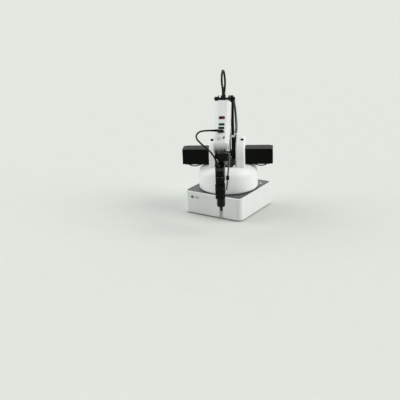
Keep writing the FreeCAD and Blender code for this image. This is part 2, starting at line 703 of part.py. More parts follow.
def cap_side_edge(edge, f):
    points = edge.discretize(5)
    side = min(abs(abs(p.x - ARM_L) - (HALF_WRIST - 0.4)) for p in points)
    flat = max(abs(abs(p.x - ARM_L) - (HALF_WRIST - 0.4)) for p in points) < 0.01
    front = all(-p.y > f + CAP_LENGTH - CAP_ROUND - 0.1 for p in points)
    return side < 0.01 and flat and front and points[0].z != points[-1].z


def servo_body():
    body = block(*SERVO_F, *SERVO_L, SERVO_BOTTOM, SERVO_TOP)
    body = body.makeFillet(1.0, upright_edges(body))
    ears = block(SERVO_F[0] - 7, SERVO_F[1] + 5, SERVO_L[0] + 1, SERVO_L[1] - 1, 136, 138.5)
    body = body.fuse(ears)
    for f in (SERVO_F[0] - 4, SERVO_F[1] + 2.6):
        for l in (SERVO_L[0] + 5, SERVO_L[1] - 5):
            body = body.cut(upright(f, l, 130, 145, 1.6))
    return body.removeSplitter()


def tool_block():
    body = block(TOOL_F - 9.5, TOOL_F + 9.5, TOOL_L - 11.3, TOOL_L + 9.9, 88.0, 120.0)
    body = body.makeFillet(1.2, upright_edges(body))
    body = body.fuse(upright(TOOL_F, TOOL_L, 120.0, SERVO_BOTTOM - 0.4, 6.0))
    port = axle((TOOL_F, 103.5), TOOL_L + 9.0, TOOL_L + 11.0, 2.2)
    return body.fuse(port).removeSplitter()


def suction_holder():
    body = upright(TOOL_F, TOOL_L, 67.5, 88.0, 9.2)
    body = body.makeChamfer(1.2, edges_at(body, lambda p: p.z < 68))
    return body.cut(upright(TOOL_F, TOOL_L, 60, 82, 3.05))


def nozzle_tip():
    return upright(TOOL_F, TOOL_L, 50.0, 82.0, 3.0).cut(upright(TOOL_F, TOOL_L, 49, 81, 1.2))


def suction_cup():
    profile = [(4.6, 57.0), (4.6, 55.2), (3.9, 54.0), (5.6, 51.0), (3.9, 48.4), (6.0, 43.4), (6.0, 42.0),
               (5.2, 42.0), (2.4, 48.6), (2.4, 49.8), (3.05, 50.0), (3.05, 57.0)]
    loop = [V(r, 0, z) for r, z in profile]
    body = Part.Face(Part.makePolygon(loop + loop[:1])).revolve(V(0, 0, 0), V(0, 0, 1), 360)
    body.translate(V(TOOL_L, -TOOL_F, 0))
    return body


# ---- cables -------------------------------------------------------------------------
HARNESS_D = 5.6
LOOP_D = 5.0
LEAD_D = 4.0
AIR_D = 3.6

HARNESS_ROUTE = [(-11.5, 16.5, 268.0), (-10.8, 19.2, 250.0), (-9.0, 20.8, 230.0), (-8.5, 21.8, 206.0),
                 (-10.5, 20.8, 190.0), (-15.0, 17.2, 172.0), (-16.5, 16.6, 150.0), (-17.0, 17.0, 128.0),
                 (-15.0, 16.6, 104.0)]
LOOP_ROUTE = [(16.0, -5.5, 276.5), (19.5, -6.0, 296.0), (19.9, -8.6, 316.0), (12.0, -8.2, 334.9),
              (-2.9, -6.3, 340.9), (-16.9, -5.0, 333.3), (-22.0, -3.7, 316.0), (-20.5, -3.7, 298.0),
              (-15.0, -7.5, 281.5)]
LEAD_ROUTE = [(101.0, -11.9, 222.0), (104.0, -36.0, 223.5), (110.0, -57.0, 223.0), (129.0, -64.0, 214.0),
              (147.0, -46.0, 201.0), (164.0, -24.5, 188.5), (180.5, -13.0, 174.5), (184.0, -7.5, 160.2)]
AIR_ROUTE = [(160.0, 15.2, 187.0), (161.0, 15.0, 168.0), (163.5, 11.6, 147.0), (167.0, 10.0, 130.5),
             (172.0, 9.2, 117.0), (178.0, 7.8, 105.5)]

CABLES = {
    "arm_harness": (HARNESS_ROUTE, HARNESS_D),
    "elbow_loop": (LOOP_ROUTE, LOOP_D),
    "servo_lead": (LEAD_ROUTE, LEAD_D),
    "air_tube": (AIR_ROUTE, AIR_D),
}


def cable(name):
    route, diameter = CABLES[name]
    shape, radii, length = tube(route, diameter)
    section = math.pi * diameter ** 2 / 4
    print(name, "length %.1f" % length, "volume/section %.3f" % (shape.Volume / (section * length)),
          "radii in diameters", [round(r / diameter, 1) for r in radii])
    return shape


def air_fitting():
    f, l, z = AIR_ROUTE[3]
    return upright(f, l, z - 4.5, z + 4.5, 3.6).cut(tube(AIR_ROUTE, AIR_D + 0.1)[0])


CLIP_Z = (182.0, 186.5)     # strap around the right plate, above the towers' round tops


def harness_clip():
    strap = block(-13.0, 12.6, RIGHT_PLATE[0] - 1.5, RIGHT_PLATE[1] + 1.5, *CLIP_Z)
    eye = upright(-12.4, 19.6, *CLIP_Z, 4.6)
    body = strap.fuse(eye).cut(rear_arm_plate(RIGHT_PLATE))
    return body.cut(tube(HARNESS_ROUTE, HARNESS_D + 0.1)[0])


# ---- output -------------------------------------------------------------------------
BASE_NODES = {
    "base_shell": base_shell,
    "base_top_plate": base_top_plate,
    "base_bottom_plate": base_bottom_plate,
    "rubber_feet": rubber_feet,
    "base_screws": base_screws,
    "rear_port_panel": rear_port_panel,
    "dc_jack": dc_jack,
    "data_sockets": data_sockets,
    "power_button": power_button,
    "control_board": control_board,
    "yaw_motor": yaw_motor,
    "yaw_bearing_housing": yaw_bearing_housing,
    "yaw_bearing_outer": lambda: yaw_bearing(False),
    "yaw_bearing_balls": yaw_bearing_balls,
    "status_led": status_led,
}
ARM_NODES = {
    "yaw_bearing_inner": lambda: yaw_bearing(True),
    "turret_disc": turret_disc,
    "turret_shell": turret_shell,
    "left_tower_cover": lambda: tower_cover(-1),
    "right_tower_cover": lambda: tower_cover(1),
    "left_frame_plate": lambda: frame_plate(-1),
    "right_frame_plate": lambda: frame_plate(1),
    "frame_braces": frame_braces,
    "tower_screws": tower_screws,
    "left_shoulder_motor": lambda: shoulder_motor(-1),
    "right_shoulder_motor": lambda: shoulder_motor(1),
    "shoulder_gearboxes": shoulder_gearboxes,
    "motor_leads": motor_leads,
    "rear_arm_left": rear_arm_left,
    "rear_arm_right": rear_arm_right,
    "shoulder_shaft": shoulder_shaft,
    "elbow_pin": elbow_pin,
    "rear_level_link": rear_level_link,
    "front_level_link": front_level_link,
    "elbow_plate": elbow_plate,
    "drive_crank": drive_crank,
    "crank_bush": crank_bush,
    "drive_link": drive_link,
    "forearm_frame": forearm_frame,
    "forearm_cover": forearm_cover,
    "wrist_cap": wrist_cap,
    "port_board": port_board,
    "green_sockets": green_sockets,
    "black_socket": lambda: socket(PAIR_U, PAIR_LEN, BLACK_L),
    "red_socket": lambda: socket(PAIR_U, PAIR_LEN, RED_L),
    "servo_plug": servo_plug,
    "unlock_button": unlock_button,
    "wrist_bracket": wrist_bracket,
    "wrist_pin": wrist_pin,
    "servo_body": servo_body,
    "tool_block": tool_block,
    "suction_holder": suction_holder,
    "nozzle_tip": nozzle_tip,
    "suction_cup": suction_cup,
    "air_fitting": air_fitting,
    "harness_clip": harness_clip,
}
ARM_NODES.update({name: (lambda name=name: cable(name)) for name in CABLES})

os.makedirs("parts", exist_ok=True)
for name, make in BASE_NODES.items():
    make().exportStep("parts/%s.step" % name)
for name, make in ARM_NODES.items():
    shape = make()
    shape.rotate(V(0, 0, 0), V(0, 0, 1), REST_YAW)
    shape.exportStep("parts/%s.step" % name)
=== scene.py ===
import json
import math

import bmesh
import bpy
from mathutils import Matrix, Vector


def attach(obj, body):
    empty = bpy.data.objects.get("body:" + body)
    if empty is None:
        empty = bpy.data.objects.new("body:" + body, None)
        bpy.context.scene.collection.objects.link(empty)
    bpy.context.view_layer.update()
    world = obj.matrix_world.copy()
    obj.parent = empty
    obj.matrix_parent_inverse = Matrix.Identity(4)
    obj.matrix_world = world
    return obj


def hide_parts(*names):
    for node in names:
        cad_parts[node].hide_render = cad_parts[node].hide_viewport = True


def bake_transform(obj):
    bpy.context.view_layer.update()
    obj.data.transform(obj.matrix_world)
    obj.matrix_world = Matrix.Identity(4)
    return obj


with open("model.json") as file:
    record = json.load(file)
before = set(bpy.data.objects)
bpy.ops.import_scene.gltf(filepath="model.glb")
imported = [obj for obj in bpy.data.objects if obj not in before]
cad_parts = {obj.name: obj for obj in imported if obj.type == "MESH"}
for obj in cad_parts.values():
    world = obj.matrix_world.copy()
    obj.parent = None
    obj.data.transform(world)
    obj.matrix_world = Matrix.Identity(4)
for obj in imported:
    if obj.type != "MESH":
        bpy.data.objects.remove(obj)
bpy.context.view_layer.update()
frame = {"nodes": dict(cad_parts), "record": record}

# A desktop robot arm with a suction tool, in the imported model's frame, in metres.
# Pieces on the arm are drawn in its own axes (x sideways, -y forward, z up), in millimetres.
MM = 0.001
YAW = math.radians(27.5)         # turret's stored turn
PITCH = math.radians(35.8)       # forearm's stored slope
SHOULDER_Z = 138.0               # shoulder axis
ELBOW_Z = 273.0                  # elbow axis, straight over the shoulder's
FOREARM_LENGTH = 147.0           # elbow axis to wrist axis
WRIST_F = FOREARM_LENGTH * math.cos(PITCH)
TOOL_F = WRIST_F + 60            # tool's turning axis, forward
TOOL_L = -5.5                    # tool's turning axis, sideways
SERVO_F = TOOL_F - 10            # middle of the servo, forward
SERVO_L = -6                     # middle of the servo, sideways
SERVO_HALF = (9.62, 20.12)       # half sizes of a ring around the servo, sideways and forward
BASE_HALF = 79.0                 # half of the base's side
PLATE_TOP = 55.4                 # top of the base's cover plate
PANEL_Y = 78.4                   # outer face of the rear panel
TOWER_HOLE = math.radians(22.8)  # lean of the screw hole in each tower's round top
TOWER_HOLE_L = 36                # that hole, sideways
TOWER_SEAT = 40.1                # screw's seat in that hole, from the shoulder axis
MOTOR_Z = 135.0                  # middle of the shoulder motors
MOTOR_END = 108.5                # outer end of each motor, sideways
MOTOR_HALF = 19.12               # half side of a band around a motor
COVER_TOP = 14.0                 # forearm cover's top face above the elbow-wrist line
PIN_FOOT = 9.4                   # foot of the sockets' pins, just inside the sockets' floor
INK, THIN_INK = 0.12, 0.1        # how far printed marks stand proud
BASE = Matrix.Scale(MM, 4)
ARM = Matrix.Rotation(YAW, 4, "Z") @ BASE
FOREARM = ARM @ Matrix.Translation((0, 0, ELBOW_Z)) @ Matrix.Rotation(PITCH, 4, "X")
LEFT = Matrix.Rotation(-math.pi / 2, 4, "Y")   # turns local +Z to the arm's left
RIGHT = Matrix.Rotation(math.pi / 2, 4, "Y")   # turns local +Z to the arm's right
LINK = bpy.context.scene.collection.objects.link


def at(f, l, z):
    """A place on the arm or the forearm: forward (or along), sideways and up, as a matrix."""
    return Matrix.Translation((l, -f, z))


def arm_point(f, l, z):
    """The same place as a point in the frame, in metres."""
    return ARM @ Vector((l, -f, z))


# ---- camera, light and floor ----------------------------------------------------------
def make_camera():
    """A camera that sees the arm from its front left corner, a little from above."""
    data = bpy.data.cameras.new("camera")
    data.lens, data.sensor_width = 75.83, 36.0
    camera = bpy.data.objects.new("camera", data)
    LINK(camera)
    right, up, ahead = (0.8385, 0.5436, -0.0374), (-0.1517, 0.2988, 0.9422), (-0.5233, 0.7843, -0.3330)
    turn = Matrix((right, up, [-a for a in ahead])).transposed()
    camera.matrix_world = Matrix.Translation((1.0275, -1.6694, 0.7133)) @ turn.to_4x4()
    bpy.context.scene.camera = camera


def sun(name, direction, strength, softness, tint):
    """A soft sun that shines from a direction; softness is its width in degrees."""
    data = bpy.data.lights.new(name, "SUN")
    data.energy, data.angle, data.color = strength, math.radians(softness), tint
    light = bpy.data.objects.new(name, data)
    LINK(light)
    light.rotation_euler = Vector(direction).to_track_quat("Z", "Y").to_euler()


def make_room():
    """A pale floor, a sky that is brighter on the far side, and two soft suns."""
    world = bpy.data.worlds.new("studio")
    bpy.context.scene.world = world
    world.use_nodes = True
    nodes, links = world.node_tree.nodes, world.node_tree.links
    coords = nodes.new("ShaderNodeTexCoord")
    toward = nodes.new("ShaderNodeVectorMath")
    toward.operation = "DOT_PRODUCT"
    toward.inputs[1].default_value = (0.55, -0.75, 0.37)
    links.new(coords.outputs["Generated"], toward.inputs[0])
    strength = remap(nodes, links, toward.outputs["Value"], 0.05, 0.95, 1.02, 0.12)
    links.new(strength, nodes["Background"].inputs["Strength"])
    nodes["Background"].inputs["Color"].default_value = (0.965, 0.99, 0.965, 1)
    sun("key", (0.95, 0.30, 0.78), 1.62, 38, (1.0, 0.995, 0.98))
    sun("fill", (-0.95, -0.30, 0.62), 1.10, 50, (0.96, 0.99, 1.0))

    bm = bmesh.new()
    bmesh.ops.create_grid(bm, x_segments=8, y_segments=8, size=14)
    mesh = bpy.data.meshes.new("floor")
    bm.to_mesh(mesh)
    bm.free()
    floor = bpy.data.objects.new("floor", mesh)
    LINK(floor)
    paper = (0.638, 0.655, 0.624)
    mesh.materials.append(surface("floor_paper", paper, 0.8, grain=60, depth=0.05, vary=0.01))
    bpy.context.scene.view_settings.view_transform = "Standard"


# ---- materials ------------------------------------------------------------------------
GLOSS_CHANGE = 0.08              # how far the roughness wanders to each side


def new_material(name):
    material = bpy.data.materials.new(name)
    material.use_nodes = True
    tree = material.node_tree
    return material, tree.nodes, tree.links, tree.nodes["Principled BSDF"]


def noise(nodes, links, source, scale, detail=3.0):
    node = nodes.new("ShaderNodeTexNoise")
    node.inputs["Scale"].default_value = scale
    node.inputs["Detail"].default_value = detail
    node.inputs["Roughness"].default_value = 0.55
    links.new(source, node.inputs["Vector"])
    return node.outputs["Fac"]


def remap(nodes, links, source, low, high, to_low, to_high):
    """The source spread from low..high to to_low..to_high."""
    node = nodes.new("ShaderNodeMapRange")
    for name, value in zip(("From Min", "From Max", "To Min", "To Max"), (low, high, to_low, to_high)):
        node.inputs[name].default_value = value
    links.new(source, node.inputs["Value"])
    return node.outputs["Result"]


def blend_colours(nodes, links, share, first, second):
    node = nodes.new("ShaderNodeMix")
    node.data_type = "RGBA"
    node.inputs["A"].default_value = (*first, 1)
    node.inputs["B"].default_value = (*second, 1)
    links.new(share, node.inputs["Factor"])
    return node.outputs["Result"]


def add_bump(nodes, links, shader, height, strength, distance):
    """A fine relief on the shader; strength is 0 to 1 and distance is in metres."""
    bump = nodes.new("ShaderNodeBump")
    bump.inputs["Strength"].default_value = strength
    bump.inputs["Distance"].default_value = distance
    links.new(height, bump.inputs["Height"])
    links.new(bump.outputs["Normal"], shader.inputs["Normal"])


def surface(name, colour, rough, grain=1400.0, depth=0.10, vary=0.05, stretch=(1, 1, 1), scratches=0.0,
            distance=0.0002, **sockets):
    """A surface with broad tone changes, patchy gloss, a fine grain and, if asked, light scratches."""
    material, nodes, links, shader = new_material(name)
    coords = nodes.new("ShaderNodeTexCoord")
    mapping = nodes.new("ShaderNodeMapping")
    mapping.inputs["Scale"].default_value = stretch
    links.new(coords.outputs["Object"], mapping.inputs["Vector"])
    place = mapping.outputs["Vector"]
    broad = noise(nodes, links, place, 22.0)
    dark = [c * (1 - vary) for c in colour]
    light = [min(1.0, c * (1 + vary * 0.6)) for c in colour]
    tone = blend_colours(nodes, links, remap(nodes, links, broad, 0.3, 0.7, 0, 1), dark, light)
    patches = noise(nodes, links, place, 130.0)
    gloss = remap(nodes, links, patches, 0.25, 0.75, rough - GLOSS_CHANGE, rough + GLOSS_CHANGE)
    add_bump(nodes, links, shader, noise(nodes, links, place, grain, 2.0), depth, distance)
    if scratches:
        long = nodes.new("ShaderNodeMapping")
        long.inputs["Scale"].default_value = (60, 900, 900)
        long.inputs["Rotation"].default_value = (0.3, 0.2, 0.5)
        links.new(coords.outputs["Object"], long.inputs["Vector"])
        streaks = noise(nodes, links, long.outputs["Vector"], 1.0, 1.0)
        lines = remap(nodes, links, streaks, 0.68, 0.74, 0, scratches)
        add = nodes.new("ShaderNodeMath")
        add.use_clamp = True
        links.new(gloss, add.inputs[0])
        links.new(lines, add.inputs[1])
        gloss = add.outputs["Value"]
    links.new(tone, shader.inputs["Base Color"])
    links.new(gloss, shader.inputs["Roughness"])
    for key, value in sockets.items():
        shader.inputs[key.replace("_", " ")].default_value = value
    return material


def woven(name, colour, rough):
    """A braided sleeve: two sets of threads that cross, from the piece's own UV (turns, metres)."""
    material, nodes, links, shader = new_material(name)
    coords = nodes.new("ShaderNodeTexCoord")
    bands = []
    for lean in (1, -1):
        mapping = nodes.new("ShaderNodeMapping")
        mapping.inputs["Scale"].default_value = (16, 900 * lean, 1)
        wave = nodes.new("ShaderNodeTexWave")
        wave.bands_direction = "DIAGONAL"
        wave.inputs["Scale"].default_value = 0.5
        links.new(coords.outputs["UV"], mapping.inputs["Vector"])
        links.new(mapping.outputs["Vector"], wave.inputs["Vector"])
        bands.append(wave.outputs["Fac"])
    weave = nodes.new("ShaderNodeMath")
    weave.operation = "MAXIMUM"
    links.new(bands[0], weave.inputs[0])
    links.new(bands[1], weave.inputs[1])
    height = weave.outputs["Value"]
    dark = [c * 0.45 for c in colour]
    tone = blend_colours(nodes, links, remap(nodes, links, height, 0.35, 0.95, 0, 1), dark, colour)
    links.new(tone, shader.inputs["Base Color"])
    links.new(remap(nodes, links, height, 0, 1, rough + 0.2, rough), shader.inputs["Roughness"])
    add_bump(nodes, links, shader, height, 0.6, 0.0004)
    return material


def board_material(name):
    """A lacquered circuit board with traces and plated pads."""
    material, nodes, links, shader = new_material(name)
    coords = nodes.new("ShaderNodeTexCoord")
    bricks = nodes.new("ShaderNodeTexBrick")
    bricks.inputs["Scale"].default_value = 160.0
    bricks.inputs["Color1"].default_value = (0.012, 0.10, 0.035, 1)
    bricks.inputs["Color2"].default_value = (0.016, 0.13, 0.045, 1)
    bricks.inputs["Mortar"].default_value = (0.03, 0.22, 0.08, 1)
    bricks.inputs["Mortar Size"].default_value = 0.03
    links.new(coords.outputs["Object"], bricks.inputs["Vector"])
    pads = nodes.new("ShaderNodeTexVoronoi")
    pads.inputs["Scale"].default_value = 260.0
    links.new(coords.outputs["Object"], pads.inputs["Vector"])
    pad = remap(nodes, links, pads.outputs["Distance"], 0.16, 0.13, 0, 1)
    mix = nodes.new("ShaderNodeMix")
    mix.data_type = "RGBA"
    mix.inputs["B"].default_value = (0.55, 0.45, 0.22, 1)
    links.new(bricks.outputs["Color"], mix.inputs["A"])
    links.new(pad, mix.inputs["Factor"])
    links.new(mix.outputs["Result"], shader.inputs["Base Color"])
    links.new(remap(nodes, links, pad, 0, 1, 0.38, 0.25), shader.inputs["Roughness"])
    add_bump(nodes, links, shader, bricks.outputs["Fac"], 0.2, 0.0001)
    return material


def make_materials():
    return {
        "white_plastic": surface("white_plastic", (0.80, 0.812, 0.80), 0.42, grain=1700, depth=0.16,
                                 vary=0.018, distance=0.0001, Specular_IOR_Level=0.45,
                                 Coat_Weight=0.12, Coat_Roughness=0.28),
        "white_paint": surface("white_paint", (0.79, 0.80, 0.79), 0.50, grain=900, depth=0.25, vary=0.02,
                               distance=0.0001),
        "dark_plate": surface("dark_plate", (0.085, 0.088, 0.088), 0.40, grain=2200, depth=0.30, vary=0.06,
                              distance=0.00012, scratches=0.12),
        "sheet_steel": surface("sheet_steel", (0.05, 0.05, 0.052), 0.5, grain=900, depth=0.2,
                               scratches=0.1),
        "foot_rubber": surface("foot_rubber", (0.02, 0.02, 0.02), 0.82, grain=1100, depth=0.35),
        "screw_steel": surface("screw_steel", (0.20, 0.20, 0.21), 0.32, Metallic=1.0, scratches=0.2),
        "panel_plastic": surface("panel_plastic", (0.03, 0.03, 0.032), 0.55, grain=1300, depth=0.4),
        "black_plastic": surface("black_plastic", (0.018, 0.018, 0.019), 0.45, depth=0.25),
        "socket_metal": surface("socket_metal", (0.58, 0.58, 0.57), 0.28, Metallic=1.0, scratches=0.2),
        "button_plastic": surface("button_plastic", (0.50, 0.51, 0.51), 0.35, depth=0.08),
        "circuit_board": board_material("circuit_board"),
        "motor_black": surface("motor_black", (0.0036, 0.0044, 0.0034), 0.36, grain=1500, depth=0.22,
                               vary=0.15, distance=0.00012, scratches=0.10, Specular_IOR_Level=0.07),
        "bright_metal": surface("bright_metal", (0.66, 0.66, 0.67), 0.3, stretch=(1, 1, 9), depth=0.1,
                                Metallic=1.0),
        "bearing_steel": surface("bearing_steel", (0.60, 0.60, 0.62), 0.18, Metallic=1.0, depth=0.03),
        "light_plastic": surface("light_plastic", (0.78, 0.86, 0.82), 0.5, depth=0.05,
                                 Subsurface_Weight=0.3, Subsurface_Scale=0.001),
        "black_anodised": surface("black_anodised", (0.005, 0.0056, 0.005), 0.38, grain=2400, depth=0.18,
                                  distance=0.0001, scratches=0.16, vary=0.12, Specular_IOR_Level=0.14),
        "cable_black": surface("cable_black", (0.0045, 0.0052, 0.005), 0.34, grain=700, depth=0.05,
                               vary=0.2, Specular_IOR_Level=0.16),
        "pin_black": surface("pin_black", (0.008, 0.008, 0.008), 0.3, scratches=0.2,
                             Specular_IOR_Level=0.3),
        "clip_white": surface("clip_white", (0.78, 0.78, 0.77), 0.38, depth=0.06),
        "sleeve_grey": woven("sleeve_grey", (0.30, 0.31, 0.29), 0.42),
        "brass_bush": surface("brass_bush", (0.72, 0.52, 0.22), 0.25, Metallic=1.0, stretch=(1, 1, 6)),
        "socket_green": surface("socket_green", (0.0010, 0.085, 0.030), 0.50, depth=0.12, vary=0.12,
                                Specular_IOR_Level=0.06),
        "socket_black": surface("socket_black", (0.004, 0.004, 0.022), 0.42, depth=0.12, vary=0.12,
                                Specular_IOR_Level=0.2),
        "socket_red": surface("socket_red", (0.25, 0.001, 0.008), 0.50, depth=0.12, vary=0.12,
                              Specular_IOR_Level=0.06),
        "plug_black": surface("plug_black", (0.005, 0.006, 0.006), 0.45, depth=0.15,
                              Specular_IOR_Level=0.2),
        "button_grey": surface("button_grey", (0.52, 0.53, 0.52), 0.36, depth=0.08),
        "bracket_black": surface("bracket_black", (0.0045, 0.0052, 0.0045), 0.40, grain=2000, depth=0.22,
                                 distance=0.0001, scratches=0.15, vary=0.12, Specular_IOR_Level=0.12),
        # cap_grey: a mid grey that paints the shade on the wrist cap's rounded front, which faces forward
        # and down; the cap itself is white plastic like the forearm cover
        "cap_grey": surface("cap_grey", (0.46, 0.475, 0.46), 0.55, grain=1700, depth=0.18, vary=0.03,
                            distance=0.0001),
        "servo_black": surface("servo_black", (0.0036, 0.0048, 0.0040), 0.44, grain=1300, depth=0.3,
                               vary=0.12, distance=0.00014, Specular_IOR_Level=0.10),
        "tube_clear": surface("tube_clear", (0.20, 0.21, 0.20), 0.22, depth=0.02, Transmission_Weight=0.25,
                              IOR=1.3),
        "fitting_black": surface("fitting_black", (0.005, 0.005, 0.005), 0.42, depth=0.15,
                                 Specular_IOR_Level=0.2),
        "holder_dark": surface("holder_dark", (0.008, 0.009, 0.0085), 0.34, stretch=(1, 1, 8), depth=0.2,
                               Specular_IOR_Level=0.14),
        "silicone_clear": surface("silicone_clear", (0.50, 0.50, 0.47), 0.22, depth=0.05, vary=0.05,
                                  Transmission_Weight=0.30, IOR=1.41, Subsurface_Weight=0.15,
                                  Subsurface_Scale=0.002),
    }


# ---- mesh helpers ---------------------------------------------------------------------
def piece(name, bm, body, slot, sharp=32, material=None):
    """Turns a bmesh into a piece on a body, with the slot's material unless another is given."""
    bmesh.ops.remove_doubles(bm, verts=bm.verts, dist=1e-5)
    bmesh.ops.recalc_face_normals(bm, faces=bm.faces)
    mesh = bpy.data.meshes.new(name)
    bm.to_mesh(mesh)
    bm.free()
    mesh.materials.append(material or MATERIALS[slot])
    mesh.polygons.foreach_set("use_smooth", [True] * len(mesh.polygons))
    mesh.set_sharp_from_angle(angle=math.radians(sharp))
    obj = bpy.data.objects.new(name, mesh)
    LINK(obj)
    if body:
        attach(obj, body)
    return obj


def skin(bm, rings):
    """Faces between equal closed rings of points, with flat ends."""
    made = [[bm.verts.new(p) for p in ring] for ring in rings]
    for a, b in zip(made, made[1:]):
        for k in range(len(a)):
            n = (k + 1) % len(a)
            bm.faces.new((a[k], a[n], b[n], b[k]))
    bm.faces.new(made[0])
    bm.faces.new(made[-1])


def lathe(bm, profile, place, segments):
    """A turned shape from (radius, height) points; a third value is the number of flats at that ring."""
    rings = []
    for radius, height, *flats in profile:
        ring = []
        for k in range(segments):
            turn = 2 * math.pi * k / segments
            reach = radius
            if flats:
                side = math.pi / flats[0]
                reach = radius * math.cos(side) / math.cos(turn % (2 * side) - side)
            ring.append(place @ Vector((reach * math.cos(turn), reach * math.sin(turn), height)))
        rings.append(ring)
    skin(bm, rings)


def rounded_rect(half_w, half_h, radius):
    """The outline of a rectangle with rounded corners, counter-clockwise."""
    steps = 5
    points = []
    for corner, (sx, sy) in enumerate(((1, 1), (-1, 1), (-1, -1), (1, -1))):
        for k in range(steps + 1):
            turn = math.pi / 2 * (corner + k / steps)
            points.append((sx * (half_w - radius) + radius * math.cos(turn),
                           sy * (half_h - radius) + radius * math.sin(turn)))
    return points


def plate(bm, half_w, half_h, radius, profile, place):
    """A pad with rounded corners; profile gives (inset, height) rings from the bottom to the top."""
    rings = []
    for inset, height in profile:
        outline = rounded_rect(half_w - inset, half_h - inset, max(radius - inset, 0.05))
        rings.append([place @ Vector((x, y, height)) for x, y in outline])
    skin(bm, rings)


def slab(bm, half_w, half_h, radius, low, high, place):
    """A pad with straight sides, for a printed mark, a band or a rib."""
    plate(bm, half_w, half_h, radius, [(0, low), (0, high)], place)


def ring_mark(bm, outer, inner, height, place, segments=28):
    lathe(bm, [(outer, 0), (outer, height), (inner, height), (inner, 0)], place, segments)


def screw(bm, place, r, height, flats=6):
    """A cap screw's head with a hexagon socket, or a pan head with a cross when flats is 4."""
    key = r * 0.52
    lathe(bm, [(r * 0.98, 0), (r, 0.15), (r, height * 0.7), (r * 0.93, height * 0.9), (r * 0.82, height),
               (key * 1.12, height, flats), (key, height - 0.15, flats), (key, height * 0.35, flats),
               (key * 0.3, height * 0.3)], place, 24)


def facing(direction):
    """A turn that points local +Z along a level direction, with local +Y straight up."""
    z = Vector(direction).normalized()
    x = Vector((0, 0, 1)).cross(z).normalized()
    return Matrix((x, z.cross(x), z)).transposed().to_4x4()


FRONT, BACK = facing((0, -1, 0)), facing((0, 1, 0))


def frames_along(points):
    """A steady pair of side directions at each point of a line."""
    tangents = []
    for k in range(len(points)):
        a, b = points[max(k - 1, 0)], points[min(k + 1, len(points) - 1)]
        tangents.append((b - a).normalized())
    side = tangents[0].orthogonal().normalized()
    found = []
    for tangent in tangents:
        side = (side - tangent * side.dot(tangent)).normalized()
        found.append((side.copy(), tangent.cross(side)))
    return found


def sweep(bm, points, radius, segments, offset=None):
    """A round tube along points, with UV in turns and metres.

    The radius may be a function of the share of the length. An offset gives the turn and the
    distance from the line at a length along it.
    """
    frames = frames_along(points)
    lengths = [0.0]
    for a, b in zip(points, points[1:]):
        lengths.append(lengths[-1] + (b - a).length)
    uv = bm.loops.layers.uv.get("UVMap") or bm.loops.layers.uv.new("UVMap")
    rings = []
    for k, (point, (side, other)) in enumerate(zip(points, frames)):
        share = lengths[k] / lengths[-1]
        r = radius(share) if callable(radius) else radius
        centre = point
        if offset:
            turn, reach = offset(lengths[k])
            centre = point + (side * math.cos(turn) + other * math.sin(turn)) * reach
        ring = []
        for n in range(segments):
            turn = 2 * math.pi * n / segments
            ring.append(bm.verts.new(centre + (side * math.cos(turn) + other * math.sin(turn)) * r))
        rings.append(ring)
    for k, (a, b) in enumerate(zip(rings, rings[1:])):
        for n in range(segments):
            m = (n + 1) % segments
            face = bm.faces.new((a[n], a[m], b[m], b[n]))
            corners = ((n, k), (n + 1, k), (n + 1, k + 1), (n, k + 1))
            for loop, (turns, along) in zip(face.loops, corners):
                loop[uv].uv = (turns / segments, lengths[along])
    bm.faces.new(rings[0])
    bm.faces.new(rings[-1])


def spline_points(route):
    """Points along the smooth curve whose control points are the route."""
    curve = bpy.data.curves.new("route", "CURVE")
    curve.dimensions, curve.resolution_u = "3D", 14
    spline = curve.splines.new("NURBS")
    spline.points.add(len(route) - 1)
    for point, place in zip(spline.points, route):
        point.co = (*place, 1)
    spline.order_u = 3
    spline.use_endpoint_u = True
    holder = bpy.data.objects.new("route", curve)
    LINK(holder)
    bpy.context.view_layer.update()
    mesh = bpy.data.meshes.new_from_object(holder)
    points = [v.co.copy() for v in mesh.vertices]
    bpy.data.objects.remove(holder)
    bpy.data.meshes.remove(mesh)
    bpy.data.curves.remove(curve)
    return points


# ---- cables: routes as (forward, sideways, up) on the arm, in millimetres ---------------
HARNESS_ROUTE = [(-11.5, 16.5, 268.0), (-10.8, 19.2, 250.0), (-9.0, 20.8, 230.0), (-8.5, 21.8, 206.0),
                 (-10.5, 20.8, 190.0), (-15.0, 17.2, 172.0), (-16.5, 16.6, 150.0), (-17.0, 17.0, 128.0),
                 (-15.0, 16.6, 104.0)]
LOOP_ROUTE = [(16.0, -5.5, 276.5), (19.5, -6.0, 296.0), (19.9, -8.6, 316.0), (12.0, -8.2, 334.9),
              (-2.9, -6.3, 340.9), (-16.9, -5.0, 333.3), (-22.0, -3.7, 316.0), (-20.5, -3.7, 298.0),
              (-15.0, -7.5, 281.5)]
LEAD_ROUTE = [(101.0, -11.9, 222.0), (104.0, -36.0, 223.5), (110.0, -57.0, 223.0), (129.0, -64.0, 214.0),
              (147.0, -46.0, 201.0), (164.0, -24.5, 188.5), (180.5, -13.0, 174.5), (184.0, -7.5, 160.2)]
AIR_ROUTE = [(160.0, 15.2, 187.0), (161.0, 15.0, 168.0), (163.5, 11.6, 147.0), (167.0, 10.0, 130.5),
             (172.0, 9.2, 117.0), (178.0, 7.8, 105.5)]


def cable(name, route, diameter, slot, extras=()):
    """A cable swept along its route, with thinner wires or boots on it; it hides the imported part of the
    same name.
    """
    line = spline_points([arm_point(*p) for p in route])
    bm = bmesh.new()
    sweep(bm, line, diameter * MM / 2, 20)
    tube = piece(f"{name}_cable", bm, None, slot, sharp=50)
    on_it = []
    for suffix, radius, offset, share in extras:
        first, last = (round(s * (len(line) - 1)) for s in share)
        bm = bmesh.new()
        sweep(bm, line[first:last + 1], radius, 12, offset)
        on_it.append(piece(f"{name}_{suffix}", bm, None, "cable_black", sharp=50,
                           material=EXTRA.get(suffix)))
    for obj in [tube] + on_it:
        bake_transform(obj)
    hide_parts(name)


